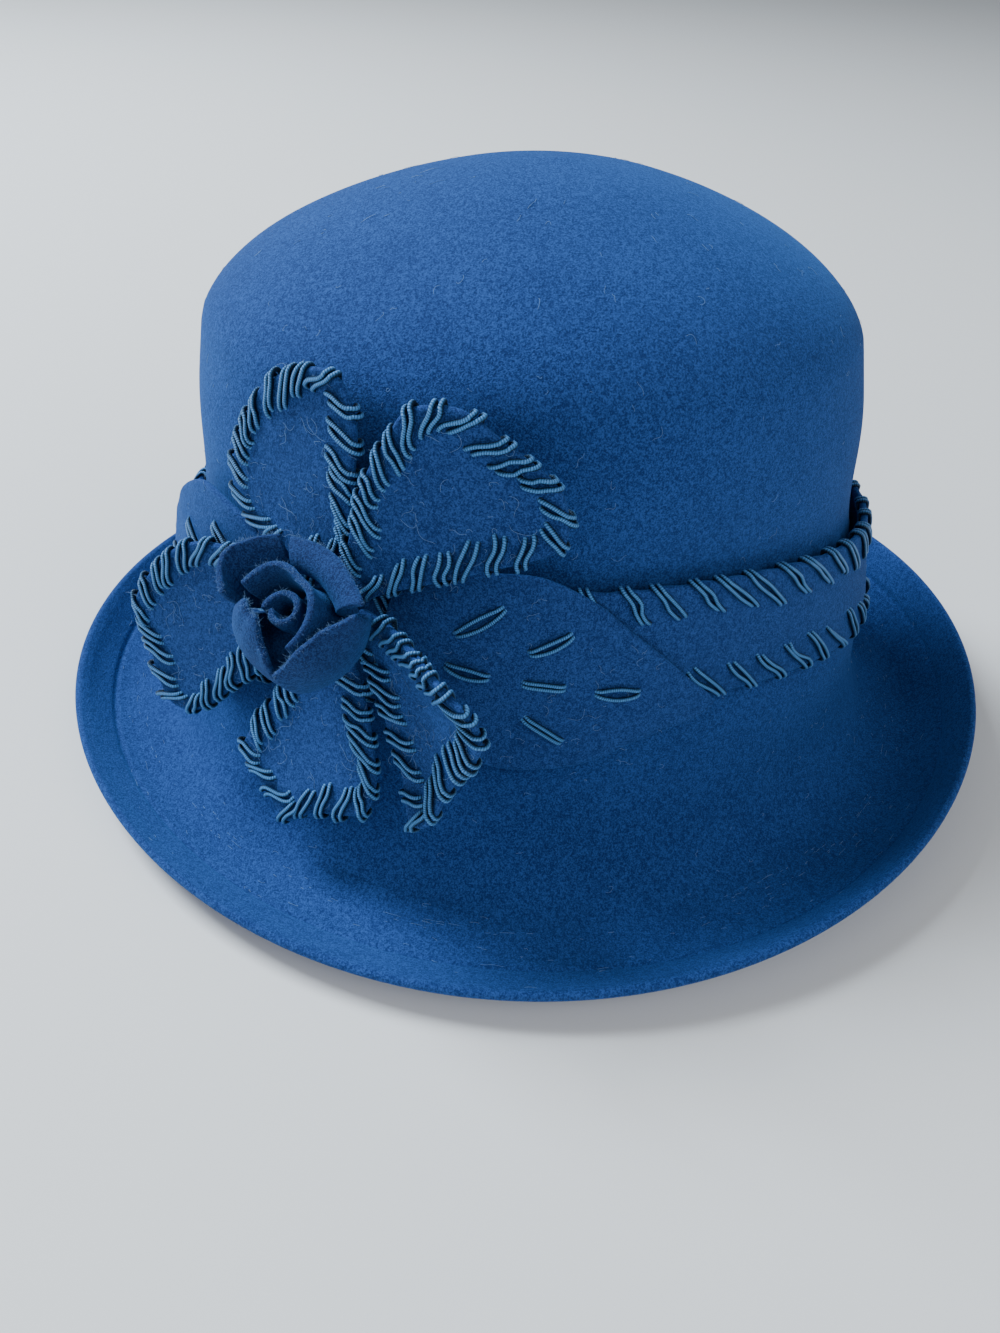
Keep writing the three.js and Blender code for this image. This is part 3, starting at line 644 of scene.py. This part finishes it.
# Rough millimetres for one radian round the hat, and for one station down it
ROUND_REACH, DOWN_REACH = 90, 60


def stray_fibres(name, face, spots, longest, material):
    """Loose fibres on a face: each starts at a spot, its heading turns evenly with a wave on its way, and it
    stands off the face by the square of a half sine along it."""
    count = len(spots)
    length = longest * hand.beta(1.4, 4.0, count) + 0.8
    step = np.linspace(0, 1, 9)
    heading = hand.uniform(0, 2 * np.pi, count)[:, None] + np.outer(hand.normal(0, 2.4, count), step)
    heading = heading + 0.5 * np.sin(np.outer(hand.uniform(4, 11, count), step))
    stride = np.stack([np.cos(heading), np.sin(heading)], -1) * (length / 8)[:, None, None]
    flat = spots[:, None] + np.cumsum(stride, axis=1) - stride[:, :1]
    height = 0.05 + (0.09 * length * hand.uniform(0.2, 1, count))[:, None] * np.sin(np.pi * step) ** 2
    paths = laid(face, flat, height)
    sideways = np.stack([-np.sin(heading), np.cos(heading)], -1)
    across = unit(laid(face, flat + 0.1 * sideways, height) - paths)
    return cord_tubes(name, paths, across, FIBRE_RADIUS, material, 3)


def edge_fuzz(name, roots, outward, material):
    """Short hairs on felt edges: each bends off the outward direction with the square of the way."""
    count = len(roots)
    step = np.array([0, 0.5, 1.0])[None, :, None]
    aim = unit(outward + 0.9 * hand.standard_normal((count, 3)))
    bend = 0.8 * hand.standard_normal((count, 3))
    length = 0.3 + 1.3 * hand.beta(1.2, 3.5, count)[:, None, None]
    paths = roots[:, None] + length * (aim[:, None] * step + bend[:, None] * step**2 / 2)
    across = np.broadcast_to(unit(np.cross(aim, hand.standard_normal((count, 3))))[:, None], paths.shape)
    return cord_tubes(name, paths, across, HAIR_RADIUS, material, 3)


def inside_spots(rows, count):
    """Places spread inside a cut: from its middle toward its edge by the root of a random share."""
    points, _ = smooth_loop(rows, SPOT_STEPS)
    middle = points.mean(axis=0)
    share = np.sqrt(hand.uniform(0, 0.95, count))[:, None]
    return middle + share * (points[hand.integers(0, SPOT_STEPS, count)] - middle)


def hat_face(down, around):
    """Outer side of the hat by rough millimetres down from the top and round it."""
    return hat_point(around / ROUND_REACH, down / DOWN_REACH)


def cut_size(rows):
    """Flat width and length of a cut in metres, and its area from the cross products of neighbours."""
    points, _ = smooth_loop(rows, 400)
    beside = np.roll(points, -1, 0)
    area = abs((points[:, 0] * beside[:, 1] - points[:, 1] * beside[:, 0]).sum()) / 2
    width, length = sorted(np.ptp(points, axis=0) / 1000)
    return (float(width), float(length)), float(area) / 1e6


# Rose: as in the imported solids, but with the front petal's lip drawn in and the bud lowered by about 2 mm.
# Rows are share along, turn, foot and lip as shares of the rose radius, and height as a share of its own
ROSE_RADIUS, ROSE_HEIGHT, ROSE_BEND, ROSE_PLAY = 18.5, 21.0, np.radians(62.0), 1.75
ROSE_SHIFT = (5.0, 1.0)
ROSE_PETALS = {
    "rose_petal_1": dict(late=1.2, belly=0.05, roll=0, rows=[
        (0, 126, 0.58, 1.02, 0.93), (0.35, 148, 0.58, 1.10, 0.97), (0.7, 168, 0.58, 1.02, 0.95),
        (1, 188, 0.57, 0.76, 0.85)]),
    "rose_petal_2": dict(late=4, belly=0.02, roll=0.10, rows=[
        (0, 24, 0.52, 1.00, 1.00), (0.35, 52, 0.48, 0.92, 1.08), (0.7, 88, 0.48, 0.90, 1.10),
        (1, 119, 0.55, 1.02, 1.05)]),
    "rose_petal_3": dict(late=1.6, belly=0.14, roll=0, rows=[
        (0, -68, 0.62, 0.74, 0.70), (0.35, -40, 0.60, 0.66, 0.84), (0.7, -8, 0.60, 0.62, 0.86),
        (1, 22, 0.64, 0.88, 0.74)]),
    "rose_petal_4": dict(late=2.2, belly=0.18, roll=0, rows=[
        (0, 193, 0.64, 0.40, 0.88), (0.35, 220, 0.62, 0.27, 0.92), (0.7, 255, 0.60, 0.27, 0.88),
        (1, 287, 0.60, 0.52, 0.76)]),
    "rose_petal_5": dict(late=1, belly=0.03, roll=0, rows=[
        (0, -48, 0.34, 0.50, 0.86), (0.25, 38, 0.37, 0.38, 1.00), (0.5, 88, 0.26, 0.34, 1.03),
        (0.75, 135, 0.30, 0.50, 1.02), (1, 176, 0.32, 0.56, 0.92)]),
}


def rose_point(turn, radius, up):
    """Point of the rose: a ring square to a stalk that rises from the petals and bends up evenly."""
    bend = ROSE_BEND * up
    stalk = ROSE_HEIGHT / ROSE_BEND
    back = radius * np.sin(turn)
    right = ROSE_SHIFT[0] + radius * np.cos(turn)
    out = 2 * (PETAL_FELT + LAY_GAP) + ROSE_PLAY + stalk * np.sin(bend)
    return flower_point(right, ROSE_SHIFT[1] + stalk * (1 - np.cos(bend)) + back * np.cos(bend),
                        out - back * np.sin(bend))


def rose_strip(name, surface, material, steps_u=40, steps_v=18):
    """A strip of the rose, its flat sizes and area, and the fuzz of its lip."""
    flat, area = strip_size(surface)
    strip = rolled_felt(name, surface, ROSE_FELT, 1000 * flat[1], 1000 * flat[0], material, steps_u, steps_v)
    around = hand.uniform(0.01, 0.99, LIP_HAIRS)
    lip = np.full(LIP_HAIRS, 0.99)
    depth = ROSE_FELT * hand.uniform(0.1, 0.9, LIP_HAIRS)[:, None]
    roots = surface(around, lip) + square_to(surface, around, lip, 1e-3) * depth
    outward = unit(surface(around, lip) - surface(around, lip - 0.02))
    fuzz = edge_fuzz(name + "_fuzz", roots, outward, fibre_pale)
    return strip, flat, area, fuzz


def rose_petal(name, row, material):
    """Petal of the rose: turn, foot, lip and height come from its rows. The radius leaves the foot's for
    the lip's with a power of the way up, and a belly swells halfway; the lip's last part rolls over, and
    the rim waves."""
    def surface(around, up):
        turn, foot, lip, tall = (through([(r[0], r[k]) for r in row["rows"]], around) for k in (1, 2, 3, 4))
        rise = np.maximum(up, 0)
        radius = ROSE_RADIUS * (mix(foot, lip, rise ** row["late"]) + row["belly"] * 4 * up * (1 - up))
        radius = radius + 0.35 * rise**2 * np.sin(9 * around + 2 * row["late"])
        tall = tall + 0.018 * rise**2 * np.sin(14 * around + 5 * row["late"])
        return rose_point(np.radians(turn), radius, tall * up * (1 - row["roll"] * up**4))
    return rose_strip(name, surface, material)


def rose_bud(material):
    """Bud: a strip rolled into one turn, growing by the felt and two gaps a turn."""
    def surface(around, up):
        radius = ROSE_RADIUS * mix(0.04, 0.08, up) + (ROSE_FELT + 2 * LAY_GAP) * around
        return rose_point(np.radians(200) + 2 * np.pi * around, radius, 0.8 * up)
    return rose_strip("rose_bud_felt", surface, material, 60, 14)


# Materials
def group_socket(group, name, way, value=0.0):
    """Adds one named input or output to a node group."""
    socket = group.interface.new_socket(name=name, in_out=way, socket_type="NodeSocketFloat")
    socket.default_value = value


def matted_wool():
    """Group for felt: soft clouds, matted specks and fine fibres, as a tone from 0 to 1 and a height."""
    group = bpy.data.node_groups.new("matted_wool", "ShaderNodeTree")
    group_socket(group, "Fibre", "INPUT", value=1700.0)
    group_socket(group, "Cloud", "INPUT", value=60.0)
    group_socket(group, "Tone", "OUTPUT")
    group_socket(group, "Height", "OUTPUT")
    nodes, link = group.nodes, group.links.new
    ends, start = nodes.new("NodeGroupOutput"), nodes.new("NodeGroupInput")
    place = nodes.new("ShaderNodeTexCoord")

    def noise(scale, detail, distort, source=None):
        n = nodes.new("ShaderNodeTexNoise")
        n.inputs["Detail"].default_value = detail
        n.inputs["Distortion"].default_value = distort
        link(place.outputs["Object"], n.inputs["Vector"])
        if source is None:
            n.inputs["Scale"].default_value = scale
        else:
            link(source, n.inputs["Scale"])
        return n.outputs["Fac"]

    def blend(a, b, weight):
        m = nodes.new("ShaderNodeMix")
        m.inputs["Factor"].default_value = weight
        link(a, m.inputs["A"])
        link(b, m.inputs["B"])
        return m.outputs["Result"]

    cloud = noise(None, 3.0, 0.4, start.outputs["Cloud"])
    fibre = noise(None, 1.0, 0.6, start.outputs["Fibre"])
    speck = noise(900.0, 2.0, 0.8)
    matted = blend(fibre, speck, 0.35)
    spread = nodes.new("ShaderNodeMapRange")
    spread.inputs["From Min"].default_value = 0.42
    spread.inputs["From Max"].default_value = 0.60
    link(blend(matted, cloud, 0.07), spread.inputs["Value"])
    link(spread.outputs["Result"], ends.inputs["Tone"])
    link(blend(matted, cloud, 0.12), ends.inputs["Height"])
    return group


def felt_material(name, group, dark, light, fibre, bump):
    """Wool felt: two blues mixed by the matted tone, rough, with the pale sheen of standing fibres."""
    material = bpy.data.materials.new(name)
    material.use_nodes = True
    nodes, link = material.node_tree.nodes, material.node_tree.links.new
    shader = nodes["Principled BSDF"]
    wool = nodes.new("ShaderNodeGroup")
    wool.node_tree = group
    wool.inputs["Fibre"].default_value = fibre
    ramp = nodes.new("ShaderNodeValToRGB")
    ramp.color_ramp.elements[0].color = (*dark, 1)
    ramp.color_ramp.elements[1].color = (*light, 1)
    link(wool.outputs["Tone"], ramp.inputs["Fac"])
    link(ramp.outputs["Color"], shader.inputs["Base Color"])
    shader.inputs["Roughness"].default_value = 0.92
    shader.inputs["Specular IOR Level"].default_value = 0.25
    shader.inputs["Sheen Weight"].default_value = 0.3
    shader.inputs["Sheen Roughness"].default_value = 0.5
    shader.inputs["Sheen Tint"].default_value = (0.05, 0.30, 0.85, 1)
    height = nodes.new("ShaderNodeBump")
    height.inputs["Strength"].default_value = bump
    height.inputs["Distance"].default_value = 0.0006
    link(wool.outputs["Height"], height.inputs["Height"])
    link(height.outputs["Normal"], shader.inputs["Normal"])
    return material


def cord_material():
    """Wound cord: a helical rib from the map 'wound', and a painted highlight, a pale line along its top a
    quarter turn round, over dark flanks; both multiplied pick a blue between dark and pale, under a silk
    gloss."""
    material = bpy.data.materials.new("wound_cord")
    material.use_nodes = True
    nodes, link = material.node_tree.nodes, material.node_tree.links.new
    shader = nodes["Principled BSDF"]
    wound = nodes.new("ShaderNodeUVMap")
    wound.uv_map = "wound"
    split = nodes.new("ShaderNodeSeparateXYZ")
    link(wound.outputs["UV"], split.inputs["Vector"])

    def calc(kind, a, b=None):
        n = nodes.new("ShaderNodeMath")
        n.operation = kind
        for socket, value in zip(n.inputs, (a, b)):
            if isinstance(value, (int, float)):
                socket.default_value = value
            elif value is not None:
                link(value, socket)
        return n.outputs["Value"]

    phase = calc("ADD", calc("MULTIPLY", split.outputs["X"], 1.9), split.outputs["Y"])
    rib = calc("ABSOLUTE", calc("SINE", calc("MULTIPLY", phase, float(np.pi))))
    # Painted highlight: the cord's top, a quarter turn round and away from the felt, is made pale; the ribs
    # break it into beads
    top = calc("SINE", calc("MULTIPLY", split.outputs["Y"], float(2 * np.pi)))
    painted_highlight = calc("POWER", calc("MAXIMUM", top, 0.0), 2.2)
    pale = calc("MULTIPLY", painted_highlight, calc("ADD", calc("MULTIPLY", rib, 0.6), 0.4))
    # Dark end: the cord's dark blue on its flanks; pale end: the colour of the painted highlight
    ramp = nodes.new("ShaderNodeValToRGB")
    ramp.color_ramp.elements[0].color = (0.0008, 0.008, 0.022, 1)
    ramp.color_ramp.elements[1].color = (0.085, 0.27, 0.60, 1)
    link(pale, ramp.inputs["Fac"])
    link(ramp.outputs["Color"], shader.inputs["Base Color"])
    shader.inputs["Roughness"].default_value = 0.45
    shader.inputs["Specular IOR Level"].default_value = 0.35
    shader.inputs["Specular Tint"].default_value = (0.35, 0.65, 1.0, 1)
    height = nodes.new("ShaderNodeBump")
    height.inputs["Strength"].default_value = 0.8
    height.inputs["Distance"].default_value = 0.00025
    link(rib, height.inputs["Height"])
    link(height.outputs["Normal"], shader.inputs["Normal"])
    return material


def plain_material(name, colour, roughness):
    """One even colour."""
    material = bpy.data.materials.new(name)
    material.use_nodes = True
    shader = material.node_tree.nodes["Principled BSDF"]
    shader.inputs["Base Color"].default_value = (*colour, 1)
    shader.inputs["Roughness"].default_value = roughness
    return material


wool = matted_wool()
hat_blue = felt_material("navy_felt", wool, (0.003, 0.019, 0.105), (0.020, 0.074, 0.27), 2500, 0.8)
trim_blue = felt_material("navy_trim_felt", wool, (0.003, 0.018, 0.100), (0.022, 0.072, 0.255), 2700, 0.8)
# Rose felt: the same navy felt made darker all over, as painted shade for the shade the rose lies in
rose_blue_painted_shade = felt_material("navy_felt_painted_shade", wool, (0.002, 0.010, 0.058), (0.014, 0.045, 0.16), 2700, 0.8)
cord_blue = cord_material()
fibre_pale = plain_material("pale_fibre", (0.10, 0.22, 0.42), 0.6)

# Pieces
hat = hat_skin(hat_blue)
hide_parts("hat_body")
around_hat = hand.uniform(-np.pi, np.pi, HAT_FIBRES) * ROUND_REACH
down_hat = DOWN_REACH * hand.uniform(0.25, 4.9, HAT_FIBRES)
stray_fibres("hat_fibres", hat_face, np.stack([down_hat, around_hat], -1), HAT_FIBRE, fibre_pale)

band = band_skin(trim_blue)
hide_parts("hat_band")
band_stitches(cord_blue)

for name, mirror in (("leaf_back", False), ("leaf_front", True)):
    rows = [(flower_way - LEAF_SHORT * (way - flower_way), height) if mirror else (way, height)
            for way, height in LEAF_OUTLINE]
    leaf = cut_felt(name + "_felt", leaf_face, rows, LEAF_FELT, trim_blue, 0.25, 220)
    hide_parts(name)
    flat, area = cut_size(rows)
    spots = inside_spots(rows, LEAF_FIBRES)
    fibres = stray_fibres(name + "_fibres", leaf_face, spots, LEAF_FIBRE, fibre_pale)
    leaf_tacks(name + "_cords", mirror, cord_blue)

for name, row in PETALS.items():
    def face(out, aside, row=row):
        return petal_face(row, out, aside)

    petal = cut_felt(name + "_felt", face, row["outline"], PETAL_FELT, trim_blue)
    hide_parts(name)
    flat, area = cut_size(row["outline"])
    spots = inside_spots(row["outline"], PETAL_FIBRES)
    fibres = stray_fibres(name + "_fibres", face, spots, PETAL_FIBRE, fibre_pale)
    cords = petal_stitches(name + "_cords", face, row, cord_blue)

strips = {name: rose_petal(name + "_felt", row, rose_blue_painted_shade) for name, row in ROSE_PETALS.items()}
strips["rose_bud"] = rose_bud(rose_blue_painted_shade)
for name, (strip, flat, area, fuzz) in strips.items():
    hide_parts(name)

# Floor, light and camera
floor_mesh = bpy.data.meshes.new("floor")
floor_mesh.from_pydata([(-6, -6, 0), (6, -6, 0), (6, 6, 0), (-6, 6, 0)], [], [(0, 1, 2, 3)])
floor = bpy.data.objects.new("floor", floor_mesh)
bpy.context.scene.collection.objects.link(floor)
floor_mesh.materials.append(plain_material("pale_floor", (0.72, 0.72, 0.71), 0.7))


def standing(right, up, out, place):
    """Matrix of an object at a place, with its three directions."""
    axes = np.stack([right, up, out], 1)
    return Matrix([[*row, p] for row, p in zip(axes, place)] + [[0, 0, 0, 1]])


def soft_light(name, place, size, power, colour):
    """A square area light that looks at the middle of the hat."""
    light = bpy.data.lights.new(name, "AREA")
    light.shape = "SQUARE"
    light.size = size
    light.energy = power
    light.color = colour
    lamp = bpy.data.objects.new(name, light)
    out = unit(np.array(place) - np.array([0, 0, 0.07]))
    side = unit(np.cross([0, 0, 1], out))
    lamp.matrix_world = standing(side, np.cross(out, side), out, place)
    bpy.context.scene.collection.objects.link(lamp)


soft_light("window", (-0.80, -1.15, 1.6), 0.8, 90, (0.80, 0.90, 1.0))
soft_light("room", (1.2, 0.9, 1.2), 1.4, 15, (0.95, 0.97, 1.0))
soft_light("front", (0.9, -0.9, 0.8), 1.0, 5, (0.95, 0.97, 1.0))
world = bpy.data.worlds.new("studio")
world.use_nodes = True
world.node_tree.nodes["Background"].inputs["Color"].default_value = (0.80, 0.85, 0.92, 1)
world.node_tree.nodes["Background"].inputs["Strength"].default_value = 0.30
bpy.context.scene.world = world

# The camera of the photo, found by fitting the hat's outlines
CAMERA = np.array([262.99, -50.42, 213.03]) / 1000
LOOK = unit(np.array([-0.76476, 0.12523, -0.63203]))
CAMERA_UP = unit(np.array([-0.63348, 0.03305, 0.77306]))
FOCAL_PIXELS, PHOTO_HEIGHT, SENSOR = 1001, 1333, 36
camera_data = bpy.data.cameras.new("camera")
camera_data.sensor_width = SENSOR
camera_data.lens = FOCAL_PIXELS / PHOTO_HEIGHT * SENSOR
camera_data.clip_start = 0.01
camera = bpy.data.objects.new("camera", camera_data)
camera.matrix_world = standing(np.cross(LOOK, CAMERA_UP), CAMERA_UP, -LOOK, CAMERA)
bpy.context.scene.collection.objects.link(camera)
bpy.context.scene.camera = camera
